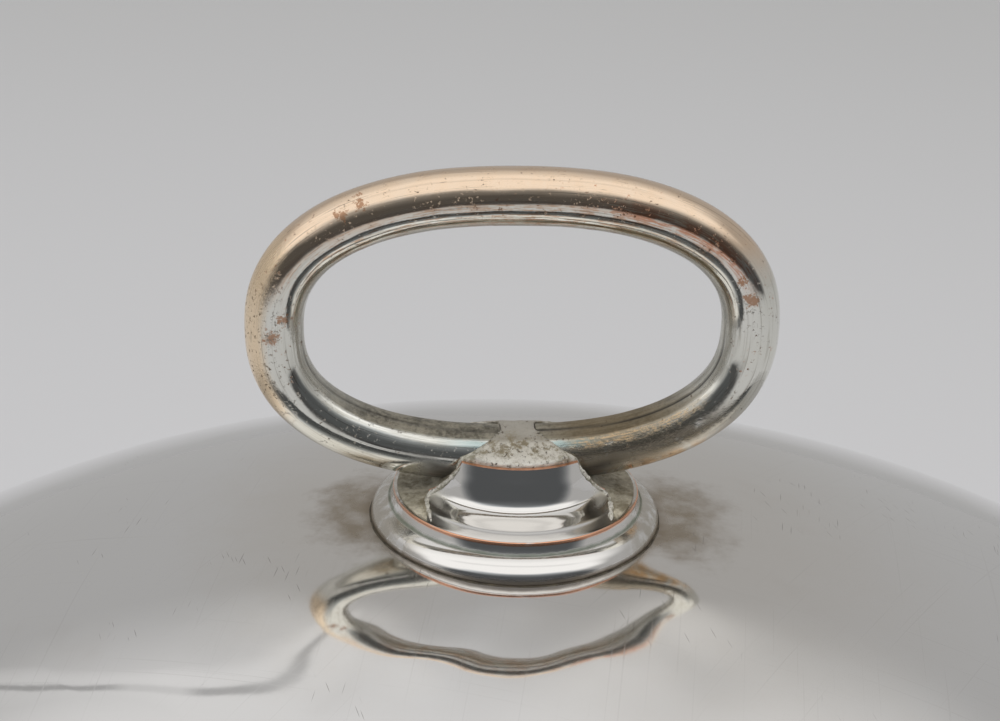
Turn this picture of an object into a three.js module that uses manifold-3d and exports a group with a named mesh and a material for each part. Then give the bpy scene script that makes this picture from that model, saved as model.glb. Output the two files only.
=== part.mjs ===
// Oval meat dish cover of silver-plated copper with a ring handle on a turned foot.
// Millimetres, +Z up, long axis along X. The origin is the middle of the flat underside of the rim.
// The handle's pieces are drawn from the sharp lip of the foot, and then lifted onto the dome.

import * as THREE from "three";
import { mergeVertices } from "three/addons/utils/BufferGeometryUtils.js";
import Module from "manifold-3d";

// Dome: one raised sheet, measured at its spring line, where the standing wall starts.
const domeLength = 456;
const domeWidth = 374;
const domeRise = 125;
const domeSheet = 1.2;
const crownPowerShare = 2.184;
const flankPowerShare = 1.785;

// Standing wall under the spring line, with a small hollow step out to the band.
const wallHeight = 21;
const wallStep = 4.5;
const coveHeight = 6;

// Border round the foot of the wall.
const edgeWireHeight = 1.6;
const edgeWireWidth = 6.2;
const borderBeadRadius = 3.3;
const borderReedRadius = 1.2;
const borderInset = 0.9;
const borderSheet = 0.7;

// Ring handle: a tube bent to an oval loop whose two ends stop short of each other at the bottom.
const ringLength = 110;
const ringHeight = 68.5;
const tubeDiameter = 12;
const tubeWall = 1.1;
const ringPowerShare = 2.35;
const tubeAxisAtFoot = 7.75;
const ringShift = -1.4;
const ringGap = 7.8;
const dowelReach = 24;

// Foot: a base ring on the dome, and a bell with a sharp lip above it. Its two cheeks are hollow
// coves that rise from a round root, inside a narrow ledge, and draw in towards the tube.
const seamRadius = 30.7;
const baseRoundRun = 3.9;
const lipSetback = 0.7;
const ledgeWidth = 4.4;
const lipAboveCrown = 5.5;
const grooveBelowLip = 2.6;
const baseRingSheet = 1.3;
const bellSheet = 1.1;
const bellRootHeight = 0.35;
const bellTopReach = 12;
const bellTopHeight = 9.3;
const loadingTop = 6.5;

// Stud and what draws the handle down on the dome.
const studDiameter = 6;
const studAboveTubeAxis = 1.2;
const studEnd = 3;
const studChamfer = 0.7;
const boreClearance = 0.5;
const discRadius = 19;
const discSheet = 1.5;
const washerRadius = 10;
const washerSheet = 1.2;
const nutWidth = 13;
const nutHeight = 5.5;
const nutCrown = 0.9;

// Clearance left for solder or for play, and how far a cutting shape runs past what it cuts.
const seat = 0.3;
const overrun = 12;

// Facet counts.
const ovalSides = 44;
const footSides = 32;
const domeSteps = 12;
const ringSteps = 46;
const barSteps = 8;
const tubeSides = 16;
const boreSides = 10;
const roundSides = 20;
const arcSteps = 4;
const reedSteps = 2;
const coveSteps = 6;

// Sizes worked out from the ones above.
const meanRadius = (domeLength + domeWidth) / 4;
const grooveRadius = seamRadius - baseRoundRun;
const lipRadius = grooveRadius - lipSetback;
const bellRootRadius = lipRadius - ledgeWidth;
const lipHeight = wallHeight + domeRise + lipAboveCrown;
const crownBelowLip = -lipAboveCrown;
const tubeRadius = tubeDiameter / 2;
const boreRadius = tubeRadius - tubeWall;
const ringHalfLength = ringLength / 2 - tubeRadius;
const ringHalfHeight = ringHeight / 2 - tubeRadius;
const ringCentreAboveLip = tubeAxisAtFoot + ringHalfHeight;
const studRadius = studDiameter / 2;
const wallRadius = meanRadius + wallStep;

const silver = { color: 0xb9b8b4, roughness: 0.22, metalness: 1 };
const wornSilver = { color: 0xb7a797, roughness: 0.26, metalness: 1 };
const copper = { color: 0xb06a48, roughness: 0.35, metalness: 1 };
const brass = { color: 0xa98b4f, roughness: 0.4, metalness: 1 };
const softSolder = { color: 0x9c968a, roughness: 0.6, metalness: 0.8 };

const wasm = await Module();
wasm.setup();

// A closed geometry as a solid that can be joined and cut.
function solidOf(geometry) {
  const bare = geometry.clone();
  bare.deleteAttribute("normal");
  bare.deleteAttribute("uv");
  const merged = mergeVertices(bare);
  const vertProperties = merged.attributes.position.array;
  const triVerts = new Uint32Array(merged.index.array);
  return new wasm.Manifold(new wasm.Mesh({ numProp: 3, vertProperties, triVerts }));
}

function geometryOf(solid) {
  const mesh = solid.getMesh();
  const geometry = new THREE.BufferGeometry();
  geometry.setAttribute("position", new THREE.BufferAttribute(mesh.vertProperties, mesh.numProp));
  geometry.setIndex(new THREE.BufferAttribute(mesh.triVerts, 1));
  geometry.computeVertexNormals();
  return geometry;
}

// A profile of [radius, height] points turned about the Z axis, outer side drawn upwards.
function turned(profile, sides) {
  const points = profile.map(([radius, height]) => new THREE.Vector2(radius, height));
  const geometry = new THREE.LatheGeometry(points, sides);
  return geometry.rotateX(Math.PI / 2);
}

function closed(profile) {
  return [...profile, profile[0]];
}

// A turned piece pulled out to the cover's oval. Past the mean radius both axes move by a fixed
// amount, so that a wall keeps its thickness, and inside it the plan shrinks evenly to the crown.
function ovalled(geometry) {
  const position = geometry.attributes.position;
  for (let i = 0; i < position.count; i += 1) {
    const x = position.getX(i);
    const y = position.getY(i);
    const reach = Math.max(Math.hypot(x, y), meanRadius);
    const alongX = 1 + (domeLength / 2 - meanRadius) / reach;
    const alongY = 1 + (domeWidth / 2 - meanRadius) / reach;
    position.setXY(i, x * alongX, y * alongY);
  }
  return geometry;
}

// Points on a circular arc, angles in degrees from the outward direction.
function arc(radiusAt, heightAt, radius, from, to, steps) {
  const points = [];
  for (let i = 0; i <= steps; i += 1) {
    const angle = THREE.MathUtils.degToRad(from + ((to - from) * i) / steps);
    points.push([radiusAt + radius * Math.cos(angle), heightAt + radius * Math.sin(angle)]);
  }
  return points;
}

// The dome's curve from the spring line up to the crown, moved outwards by a distance.
function domeCurve(outwards) {
  const points = [];
  for (let i = 0; i <= domeSteps; i += 1) {
    const turn = ((Math.PI / 2) * i) / domeSteps;
    const planShare = i === domeSteps ? 0 : Math.cos(turn) ** (2 / crownPowerShare);
    const riseShare = Math.sin(turn) ** (2 / flankPowerShare);
    const slopeOut = (crownPowerShare * planShare ** (crownPowerShare - 1)) / meanRadius;
    const slopeUp = (flankPowerShare * riseShare ** (flankPowerShare - 1)) / domeRise;
    const length = Math.hypot(slopeOut, slopeUp);
    points.push([
      meanRadius * planShare + (outwards * slopeOut) / length,
      wallHeight + domeRise * riseShare + (outwards * slopeUp) / length,
    ]);
  }
  return points;
}

// A hollow step and a straight band between the table and the spring line.
function wallCurve(outwards) {
  const band = wallRadius + outwards;
  const coveFoot = wallHeight - coveHeight;
  return [
    [band, edgeWireHeight],
    [band, coveFoot - borderReedRadius],
    [wallRadius - wallStep / 2 + outwards, coveFoot + outwards],
    [meanRadius + outwards, wallHeight - coveHeight / 2 + outwards],
  ];
}

// Everything above or below the dome's curve near the crown, for cutting what seats on the sheet.
function besideDome(outwards, side) {
  const curve = domeCurve(outwards);
  const far = wallHeight + (side > 0 ? domeRise + overrun : 0);
  const rim = curve[0][0];
  const profile = side > 0 ? [[rim, far], [0, far]] : [[0, far], [rim, far]];
  const whole = side > 0 ? [...curve.reverse(), ...profile] : [...profile, ...curve.slice(1)];
  return solidOf(ovalled(turned(whole, ovalSides)));
}

function dropped(solid, depth) {
  return solid.translate([0, 0, -depth]);
}

// A turned pin from one height to another, for holes round the handle's own axis.
function pin(radius, from, to, sides) {
  return turned([[0, from], [radius, from], [radius, to], [0, to]], sides);
}

// The handle's centre line, anticlockwise from one end of the tube to the other.
class LoopCurve extends THREE.Curve {
  constructor(fromX, toX, overTheTop) {
    super();
    this.start = LoopCurve.turnAt(fromX);
    this.end = LoopCurve.turnAt(toX) + (overTheTop ? 2 * Math.PI : 0);
  }

  // The turn, from the loop's long axis, at which the lower half passes a given X of the foot.
  static turnAt(x) {
    const fromMiddle = x - ringShift;
    const along = Math.abs(fromMiddle / ringHalfLength) ** (ringPowerShare / 2);
    return -Math.PI / 2 + Math.sign(fromMiddle) * Math.asin(along);
  }

  getPoint(share, target = new THREE.Vector3()) {
    const turn = this.start + (this.end - this.start) * share;
    const power = 2 / ringPowerShare;
    const along = Math.sign(Math.cos(turn)) * Math.abs(Math.cos(turn)) ** power;
    const up = Math.sign(Math.sin(turn)) * Math.abs(Math.sin(turn)) ** power;
    return target.set(
      ringShift + ringHalfLength * along,
      0,
      ringCentreAboveLip + ringHalfHeight * up,
    );
  }
}

function circle(radius, sides) {
  const points = [];
  for (let i = 0; i < sides; i += 1) {
    const angle = (2 * Math.PI * i) / sides;
    points.push(new THREE.Vector2(radius * Math.cos(angle), radius * Math.sin(angle)));
  }
  return points;
}

// A section swept along a stretch of the handle's centre line.
function bent(section, curve, steps) {
  return new THREE.ExtrudeGeometry(section, { steps, bevelEnabled: false, extrudePath: curve });
}

// A round bar along the bottom of the loop.
function lowerBar(radius, halfReach, sides) {
  const curve = new LoopCurve(-halfReach, halfReach, false);
  return solidOf(bent(new THREE.Shape(circle(radius, sides)), curve, barSteps));
}

// The room that the tube takes up in the pieces that hold it.
function tubeRoom() {
  const curve = new LoopCurve(ringGap / 2 - seat, -ringGap / 2 + seat, true);
  return solidOf(bent(new THREE.Shape(circle(tubeRadius + seat, tubeSides)), curve, ringSteps));
}

function studRoom(clearance) {
  const low = -lipHeight;
  const high = tubeAxisAtFoot + studAboveTubeAxis + clearance;
  return solidOf(pin(studRadius + clearance, low, high, roundSides));
}

// A turned piece whose part inside the bell's root is drawn in towards the tube: each ring keeps
// the curve of the root at its front and back, moved in by as much as the ring is smaller.
function pinched(geometry) {
  const position = geometry.attributes.position;
  for (let i = 0; i < position.count; i += 1) {
    const x = position.getX(i);
    const y = position.getY(i);
    const moved = bellRootRadius - Math.hypot(x, y);
    if (moved > 0) {
      const side = y < 0 ? -1 : 1;
      const quarterShare = Math.atan2(x, Math.abs(y)) / (Math.PI / 2);
      const turn = quarterShare * Math.acos(moved / bellRootRadius);
      const across = bellRootRadius * Math.cos(turn) - moved;
      position.setXY(i, bellRootRadius * Math.sin(turn), side * across);
    }
  }
  return geometry;
}

// The saddle from the front: [half width, height] from the crest of the solder over the tube,
// past the cheeks' top corners, down the hollow flanks to the ledge.
function saddleOutline() {
  const crest = tubeAxisAtFoot + tubeRadius;
  const cheek = bellTopHeight - bellRootHeight;
  const heapShares = [[0.184, 1], [0.36, 0.52], [0.55, 0]];
  const flankShares = [[0.595, 0.81], [0.691, 0.49], [0.77, 0.26], [0.83, 0.12], [0.89, 0.01]];
  return [
    ...heapShares.map(([out, up]) => [
      out * bellRootRadius,
      bellTopHeight + up * (crest - bellTopHeight),
    ]),
    ...flankShares.map(([out, up]) => [out * bellRootRadius, bellRootHeight + up * cheek]),
  ];
}

// A section drawn in [across, height] for its right half, mirrored and run right through.
function mirroredPrism(rightHalf, length) {
  const leftHalf = [...rightHalf].reverse().map(([across, height]) => [-across, height]);
  const outline = [...leftHalf, ...rightHalf];
  const shape = new THREE.Shape(outline.map(([across, height]) => new THREE.Vector2(across, height)));
  const prism = new THREE.ExtrudeGeometry(shape, { depth: length, bevelEnabled: false });
  return prism.translate(0, 0, -length / 2).rotateX(Math.PI / 2);
}

// What the hollow flanks leave, run through from front to back down to a floor.
function saddlePrism(floor) {
  const outline = saddleOutline();
  const reach = lipRadius + overrun;
  const rightHalf = [...outline, [reach, outline.at(-1)[1]], [reach, floor]];
  return solidOf(mirroredPrism(rightHalf, 2 * reach));
}

// The heap of solder from the side: flush with the tube, falling to the cheeks' top edges.
function roofPrism(floor) {
  const crest = tubeAxisAtFoot + tubeRadius;
  const roofShares = [[0.2, 0], [0.5, 0.42], [0.75, 0.78], [1, 1]];
  const half = roofShares.map(([out, fall]) => [
    out * bellTopReach,
    crest + fall * (bellTopHeight - crest),
  ]);
  const prism = mirroredPrism([...half, [bellTopReach, floor]], 2 * lipRadius);
  return solidOf(prism.rotateZ(Math.PI / 2));
}

function dome() {
  const outer = [...wallCurve(0), ...domeCurve(0)];
  const inner = [...wallCurve(-domeSheet), ...domeCurve(-domeSheet)].reverse();
  const low = wallHeight + domeRise - overrun;
  const sheet = solidOf(ovalled(turned(closed([...outer, ...inner]), ovalSides)));
  const hole = solidOf(pin(studRadius + boreClearance, low, lipHeight, roundSides));
  return geometryOf(sheet.subtract(hole));
}

// The applied border: a bead between two reeds, pressed hollow from thin sheet.
function rimMoulding() {
  const back = wallRadius + seat;
  const bead = wallRadius + borderInset;
  const lowReed = edgeWireHeight + borderReedRadius;
  const middle = lowReed + borderReedRadius + borderBeadRadius;
  const highReed = middle + borderBeadRadius + borderReedRadius;
  const hollow = borderBeadRadius - borderSheet;
  const profile = [
    [back, edgeWireHeight],
    ...arc(bead, lowReed, borderReedRadius, -90, 50, reedSteps),
    ...arc(bead, middle, borderBeadRadius, -65, 65, arcSteps + 1),
    ...arc(bead, highReed, borderReedRadius, -50, 90, reedSteps),
    [back, highReed + borderReedRadius],
    [back, middle + hollow],
    ...arc(bead, middle, hollow, 90, -90, arcSteps - 1),
    [back, middle - hollow],
  ];
  return ovalled(turned(closed(profile), ovalSides));
}

function rimFilling() {
  const bead = wallRadius + borderInset;
  const middle = edgeWireHeight + 2 * borderReedRadius + borderBeadRadius;
  const radius = borderBeadRadius - borderSheet - seat;
  const section = arc(bead, middle, radius, -90, 90, arcSteps - 1);
  const back = wallRadius + seat;
  const profile = [...section, [back, middle + radius], [back, middle - radius]];
  return ovalled(turned(closed(profile), ovalSides));
}

// The flat wire under the wall and the border, which the cover stands on.
function edgeWire() {
  const inner = wallRadius - domeSheet;
  const outer = inner + edgeWireWidth;
  const profile = [[inner, 0], [outer, 0], [outer, edgeWireHeight], [inner, edgeWireHeight]];
  return ovalled(turned(closed(profile), ovalSides));
}

// The quarter-round of the foot's lower ring, from the seam on the dome up towards the groove.
function baseRound(inwards) {
  const seamHeight = crownBelowLip - domeSheet / 2;
  const out = baseRoundRun - inwards;
  const up = -grooveBelowLip - seamHeight - inwards;
  return arc(0, 0, 1, 0, 80, arcSteps).map(([outShare, upShare]) => [
    grooveRadius + out * outShare,
    seamHeight + up * upShare,
  ]);
}

const baseFloor = crownBelowLip - overrun / 2;
const baseNeck = grooveRadius - bellSheet - baseRingSheet;

// The foot's lower ring, of sheet, standing on the dome and carrying the bell at its groove.
function footBase() {
  const profile = [
    [seamRadius, baseFloor],
    ...baseRound(0),
    [grooveRadius, -grooveBelowLip],
    [baseNeck, -grooveBelowLip],
    [baseNeck, -grooveBelowLip - baseRingSheet],
    ...baseRound(baseRingSheet).reverse(),
    [seamRadius - baseRingSheet, baseFloor],
  ];
  const ring = solidOf(turned(closed(profile), footSides));
  return geometryOf(ring.subtract(dropped(besideDome(seat, -1), lipHeight)));
}

// The cheeks' cove, a quarter of an ellipse from the root up to the cut top edge.
function bellCove(inwards) {
  const run = bellRootRadius - bellTopReach + inwards;
  const rise = bellTopHeight - bellRootHeight + inwards;
  const points = [];
  for (let i = 0; i <= coveSteps; i += 1) {
    const turn = ((Math.PI / 2) * i) / coveSteps;
    points.push([bellRootRadius - run * Math.sin(turn), bellTopHeight - rise * Math.cos(turn)]);
  }
  return points;
}

// The upper ring and the two cheeks of the saddle, one pressed sheet with its flanks cut away.
function footBell() {
  const inside = lipRadius - bellSheet;
  const bandShares = [[0.4, 0.66], [0.15, 0.34], [0.6, 0.05]];
  const band = bandShares.map(([out, down]) => [
    lipRadius - seat + out * seat,
    -down * grooveBelowLip,
  ]);
  const profile = [
    [grooveRadius, -grooveBelowLip],
    ...band,
    [lipRadius - seat, 0],
    [(lipRadius + bellRootRadius) / 2, bellRootHeight / 4],
    ...bellCove(0),
    ...bellCove(bellSheet).reverse(),
    [inside - bellSheet / 2, -bellSheet],
    [inside, -grooveBelowLip],
  ];
  const bell = solidOf(pinched(turned(closed(profile), footSides)));
  return geometryOf(bell.intersect(saddlePrism(-lipHeight)));
}

// Old soft solder that fills the foot and beds the tube; it shows at the saddle's flanks.
function footLoading() {
  const wall = baseRingSheet + seat;
  const profile = [
    [0, baseFloor],
    [seamRadius - wall, baseFloor],
    ...baseRound(wall),
    [baseNeck - seat, -grooveBelowLip - wall],
    [baseNeck - seat, -bellSheet - seat],
    ...bellCove(bellSheet + seat),
    [0, bellTopHeight],
  ];
  const body = solidOf(pinched(turned(profile, footSides)))
    .intersect(solidOf(pin(seamRadius, baseFloor, loadingTop, footSides)))
    .subtract(dropped(besideDome(seat, -1), lipHeight))
    .intersect(saddlePrism(-lipHeight))
    .subtract(tubeRoom())
    .subtract(lowerBar(tubeRadius + seat, ringGap, tubeSides))
    .subtract(studRoom(seat));
  return geometryOf(body);
}

function ringHandle() {
  const section = new THREE.Shape(circle(tubeRadius, tubeSides));
  section.holes.push(new THREE.Path(circle(boreRadius, boreSides)));
  return bent(section, new LoopCurve(ringGap / 2, -ringGap / 2, true), ringSteps);
}

// The bar inside the tube's two ends, tapped from below for the stud.
function jointDowel() {
  const bar = lowerBar(boreRadius - seat, dowelReach / 2, boreSides);
  return geometryOf(bar.subtract(studRoom(seat)));
}

// The heap of solder over the saddle, which also closes the gap between the tube's ends.
function saddleSolder() {
  const floor = loadingTop + seat;
  const crest = tubeAxisAtFoot + tubeRadius + overrun;
  const within = solidOf(pinched(pin(bellTopReach - bellSheet - seat, floor, crest, footSides)));
  const heap = within.intersect(saddlePrism(0)).intersect(roofPrism(0)).subtract(tubeRoom());
  const sleeve = lowerBar(tubeRadius, ringGap / 2 - seat, tubeSides);
  const body = heap
    .add(sleeve)
    .subtract(lowerBar(boreRadius, dowelReach / 2 + seat, boreSides))
    .subtract(studRoom(seat));
  return geometryOf(body);
}

// Heights of the fastening under the crown, measured down from the lip.
const discUnder = crownBelowLip - domeSheet - seat - discSheet;
const washerUnder = discUnder - washerSheet;
const nutUnder = washerUnder - nutHeight;

// A dished copper disc that spreads the nut's pull over the thin sheet.
function backingDisc() {
  const top = crownBelowLip + overrun / 2;
  const blank = solidOf(pin(discRadius, discUnder, top, roundSides * 2));
  return geometryOf(
    blank.subtract(dropped(besideDome(-domeSheet - seat, 1), lipHeight)).subtract(studRoom(seat)),
  );
}

function washer() {
  const hole = studRadius + seat;
  return turned(
    closed([
      [washerRadius, washerUnder],
      [washerRadius, discUnder],
      [hole, discUnder],
      [hole, washerUnder],
    ]),
    roundSides,
  );
}

// A square nut, its lower corners dressed round.
function squareNut() {
  const half = nutWidth / 2;
  const block = new THREE.BoxGeometry(nutWidth, nutWidth, nutHeight);
  block.translate(0, 0, nutUnder + nutHeight / 2);
  const corner = half * Math.SQRT2;
  const dressed = turned(
    [[0, nutUnder], [half, nutUnder], [corner, nutUnder + nutCrown], [corner, washerUnder], [0, washerUnder]],
    roundSides * 2,
  );
  return geometryOf(solidOf(block).intersect(solidOf(dressed)).subtract(studRoom(seat)));
}

function stud() {
  const low = nutUnder - studEnd;
  const high = tubeAxisAtFoot + studAboveTubeAxis;
  const nose = studRadius - studChamfer;
  return turned(
    [[0, low], [nose, low], [studRadius, low + studChamfer], [studRadius, high], [0, high]],
    roundSides,
  );
}

function piece(name, geometry, finish) {
  const mesh = new THREE.Mesh(geometry, new THREE.MeshStandardMaterial(finish));
  mesh.name = name;
  return mesh;
}

const shell = new THREE.Group();
shell.add(
  piece("dome", dome(), silver),
  piece("rim_moulding", rimMoulding(), silver),
  piece("rim_filling", rimFilling(), softSolder),
  piece("edge_wire", edgeWire(), silver),
);

const handle = new THREE.Group();
handle.position.z = lipHeight;
handle.add(
  piece("foot_base", footBase(), silver),
  piece("foot_bell", footBell(), silver),
  piece("foot_loading", footLoading(), softSolder),
  piece("ring_handle", ringHandle(), wornSilver),
  piece("joint_dowel", jointDowel(), brass),
  piece("saddle_solder", saddleSolder(), softSolder),
  piece("stud", stud(), brass),
  piece("backing_disc", backingDisc(), copper),
  piece("washer", washer(), brass),
  piece("square_nut", squareNut(), brass),
);

const dishCover = new THREE.Group();
dishCover.add(shell, handle);

export default dishCover;
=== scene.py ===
"""An old silver-plated dish cover: a raised oval dome, a bordered rim, and a ring handle on a foot."""

import math

import bmesh
import bpy
import numpy as np
from mathutils import Matrix, Vector, noise


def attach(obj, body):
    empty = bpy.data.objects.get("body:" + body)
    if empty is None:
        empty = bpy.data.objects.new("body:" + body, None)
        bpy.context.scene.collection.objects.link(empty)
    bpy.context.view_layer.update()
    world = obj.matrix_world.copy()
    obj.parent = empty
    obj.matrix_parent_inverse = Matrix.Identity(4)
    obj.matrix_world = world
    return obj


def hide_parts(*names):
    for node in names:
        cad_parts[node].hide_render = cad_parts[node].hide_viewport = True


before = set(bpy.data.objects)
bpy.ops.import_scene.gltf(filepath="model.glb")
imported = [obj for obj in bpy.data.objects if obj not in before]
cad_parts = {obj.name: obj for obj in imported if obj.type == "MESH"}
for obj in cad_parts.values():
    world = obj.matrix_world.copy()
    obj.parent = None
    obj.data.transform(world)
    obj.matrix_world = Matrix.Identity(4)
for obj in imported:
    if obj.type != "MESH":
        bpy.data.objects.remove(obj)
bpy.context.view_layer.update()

# Sizes of the cover, in millimetres; MM turns them into the frame's metres.
MM = 0.001
DOME_HALF_LENGTH, DOME_HALF_WIDTH, DOME_RISE, SHEET = 228.0, 187.0, 125.0, 1.2
MEAN_RADIUS = (DOME_HALF_LENGTH + DOME_HALF_WIDTH) / 2
CROWN_POWER, FLANK_POWER = 2.184, 1.785
WALL_HEIGHT, WALL_STEP = 21.0, 4.5
LIP_HEIGHT, JOINT_GAP = 151.5, 0.3
EDGE_WIRE_HEIGHT, EDGE_WIRE_WIDTH = 1.6, 6.2
BEAD_RADIUS, REED_RADIUS, BORDER_INSET, BORDER_SHEET = 3.3, 1.2, 0.9, 0.7

# The ring handle, from the lip of the foot.
TUBE_RADIUS, TUBE_BORE = 6.0, 4.9
RING_HALF_LENGTH, RING_HALF_HEIGHT = 49.0, 28.25
RING_CENTRE, RING_SHIFT, RING_POWER, RING_GAP = 36.0, -1.4, 2.35, 7.8
TUBE_SEAM_TURN, TUBE_SEAM_WIDTH, TUBE_SEAM_DEPTH = 197.0, 0.28, 0.22

# The foot, from its lip.
SEAM_RADIUS, GROOVE_RADIUS, GROOVE_DEPTH, LIP_RADIUS = 30.7, 26.8, 2.6, 26.1
CHEEK_ROOT_RADIUS, CHEEK_ROOT_HEIGHT = 21.7, 0.35
CHEEK_TOP_HEIGHT, BELL_SHEET, BASE_SHEET = 9.3, 1.1, 1.3
CROWN_BELOW_LIP = 5.5

# What holds the handle down: the stud's top is above the lip, its end below the nut.
STUD_RADIUS, STUD_TOP, STUD_END, THREAD_PITCH, THREAD_DEPTH = 3.0, 8.95, 3.0, 1.0, 0.45
DISC_RADIUS, DISC_HOLE, DISC_THICKNESS = 18.9, 3.4, 1.5
WASHER_RADIUS, WASHER_HOLE, WASHER_THICKNESS = 10.0, 3.3, 1.2
NUT_WIDTH, NUT_HEIGHT = 13.0, 5.5

# The cheeks from their root to their top edge: radius and height, and the way the sheet lies inwards.
CHEEK_CURVE = (
    (21.7, 0.35, 0.0, 1.0), (20.2, 0.47, 0.05, 1.0), (18.4, 0.66, 0.1, 1.0), (16.8, 0.95, 0.2, 0.95),
    (15.6, 1.38, 0.5, 0.85), (14.85, 2.0, 0.8, 0.6), (14.35, 2.9, 0.95, 0.3), (13.85, 4.2, 1.0, 0.1),
    (13.3, 5.9, 1.0, 0.0), (12.65, 7.6, 1.0, 0.0), (12.0, 9.3, 1.0, 0.0),
)

# Knocks in the dome in front of the foot: place from the middle, width, and how far proud.
DENTS = (
    (-22, -62, 12, -0.13), (20, -59, 12, -0.24), (-39, -56, 12, -0.24), (26, -54, 11, -0.55),
    (31, -52, 12, -0.26), (-46, -51, 12, -0.21), (9, -51, 10, 0.32), (-21, -50, 8, 0.32),
    (36, -48, 12, -0.18), (-1, -45, 9, -0.32), (-50, -43, 12, -0.21), (19, -42, 11, 0.33),
    (-51, -38, 12, -0.19), (-33, -37, 12, 0.38), (29, -33, 11, 0.98), (-31, -31, 13, 0.39),
    (24, -54, 9, 0.55),
)


class Value:
    """A shader socket that takes part in Python sums."""

    def __init__(self, bench, socket):
        self.bench = bench
        self.socket = socket

    def __add__(self, other):
        return self.bench.sum("ADD", self, other)

    def __sub__(self, other):
        return self.bench.sum("SUBTRACT", self, other)

    def __rsub__(self, other):
        return self.bench.sum("SUBTRACT", other, self)

    def __mul__(self, other):
        return self.bench.sum("MULTIPLY", self, other)

    def __truediv__(self, other):
        return self.bench.sum("DIVIDE", self, other)

    def __pow__(self, other):
        return self.bench.sum("POWER", self, other)

    def __abs__(self):
        return self.bench.sum("ABSOLUTE", self)

    def __or__(self, other):
        """The larger of the two, which joins two shares."""
        return self.bench.sum("MAXIMUM", self, other)

    __radd__ = __add__
    __rmul__ = __mul__
    __ror__ = __or__


class Bench:
    """A node tree that finishes are mixed on."""

    def __init__(self, tree, material=None):
        self.tree, self.material = tree, material
        tree.nodes.clear()

    def put(self, kind, settings=None, values=None, out=0):
        """Any node: its type, then its settings, then the values or links of its sockets."""
        node = self.tree.nodes.new(kind)
        for name, setting in (settings or {}).items():
            setattr(node, name, setting)
        for key, value in (values or {}).items():
            if isinstance(value, Value):
                self.tree.links.new(value.socket, node.inputs[key])
            else:
                node.inputs[key].default_value = value
        return Value(self, node.outputs[out]) if node.outputs else None

    def sum(self, operation, *values):
        return self.put("ShaderNodeMath", {"operation": operation}, dict(enumerate(values)))

    def blend(self, share, under, over):
        """Two colours mixed, the second one laid over the first by a share."""
        under, over = [c if isinstance(c, Value) else (*c, 1) for c in (under, over)]
        return self.put(
            "ShaderNodeMix", {"data_type": "RGBA"}, {"Factor": share, 6: under, 7: over}, out=2
        )

    def coats(self, colour, *coats):
        """A colour with others laid over it in turn, each by a share of its own."""
        for share, over in coats:
            colour = self.blend(share, colour, over)
        return colour

    def step(self, value, low, high):
        """0 below low, 1 above high, with a soft passage; high may be the lower one."""
        return self.put(
            "ShaderNodeMapRange",
            {"interpolation_type": "SMOOTHSTEP"},
            {"Value": value, "From Min": low, "From Max": high},
        )

    def split(self, vector):
        node = self.put("ShaderNodeSeparateXYZ", None, {0: vector}).socket.node
        return [Value(self, socket) for socket in node.outputs]

    def stretched(self, vector, scale, turn=0.0, shift=(0, 0, 0)):
        """A place turned about the upright axis, in radians, and then stretched and shifted."""
        if turn:
            turned = {"Vector": vector, "Rotation": (0, 0, turn)}
            vector = self.put("ShaderNodeMapping", {"vector_type": "POINT"}, turned)
        values = {"Vector": vector, "Location": shift, "Scale": scale}
        return self.put("ShaderNodeMapping", {"vector_type": "POINT"}, values)

    def cloud(self, vector, scale, detail=3, roughness=0.55):
        values = {"Vector": vector, "Scale": scale, "Detail": detail, "Roughness": roughness}
        return self.put("ShaderNodeTexNoise", None, values)

    def cells(self, vector, scale):
        return self.put("ShaderNodeTexVoronoi", {"feature": "F1"}, {"Vector": vector, "Scale": scale})

    def mark(self, name):
        """A share that was worked out with the mesh, point by point."""
        return self.put("ShaderNodeAttribute", {"attribute_name": name}, out=2)

    def hairlines(self, place, angles, fineness, width):
        """Fine polishing scratches that run in a few directions; 1 on a scratch."""
        found = 0.0
        for index, angle in enumerate(angles):
            along = self.stretched(
                place, (14, fineness, 14), math.radians(angle), (0.37 * index, 0.11, 0)
            )
            line = self.step(self.cloud(along, 1, 2, 0.6), 0.66 - width, 0.70)
            found = found | line
        return found

    def pits(self, place, scale, size, share):
        """Small round pits, of which only a share of the cells has one; 1 in a pit."""
        spot = self.cells(place, scale)
        hole = self.step(spot, size, size * 0.55)
        thinning = self.step(self.cloud(place, scale * 0.31, 2), 1 - share, 1 - share + 0.04)
        return hole * thinning

    def skin(self, *reliefs):
        """Fine relief, each layer laid on the one before: its height, depth in metres and strength."""
        under = {}
        for height, depth, strength in reliefs:
            values = {"Height": height, "Distance": depth, "Strength": strength, **under}
            under = {"Normal": self.put("ShaderNodeBump", None, values)}
        return under["Normal"]

    def shade(self, colour, metallic, rough, skin=None, gloss=0.5):
        """The surface itself; gives the finished material."""
        values = {"Base Color": colour, "Metallic": metallic, "Roughness": rough}
        values["Specular IOR Level"] = gloss
        if skin:
            values["Normal"] = skin
        surface = self.put("ShaderNodeBsdfPrincipled", None, values)
        self.put("ShaderNodeOutputMaterial", None, {"Surface": surface})
        return self.material


def finish(name):
    """The bench that a new material is mixed on, and the point's place on the cover, in metres."""
    material = bpy.data.materials.new(name)
    material.use_nodes = True
    b = Bench(material.node_tree, material)
    return b, b.put("ShaderNodeTexCoord", out=3)


SILVER = (0.80, 0.785, 0.76)
DOME_SILVER = (0.80, 0.792, 0.785)
TARNISH = (0.44, 0.36, 0.27)
BROWN_GRIME = (0.16, 0.115, 0.07)
ROSE_COPPER = (0.80, 0.61, 0.44)
TUBE_SILVER = (0.79, 0.785, 0.735)
BARE_COPPER = (0.78, 0.42, 0.27)
VERDIGRIS = (0.13, 0.17, 0.11)
SOLDER_GREY = (0.80, 0.77, 0.70)

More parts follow.
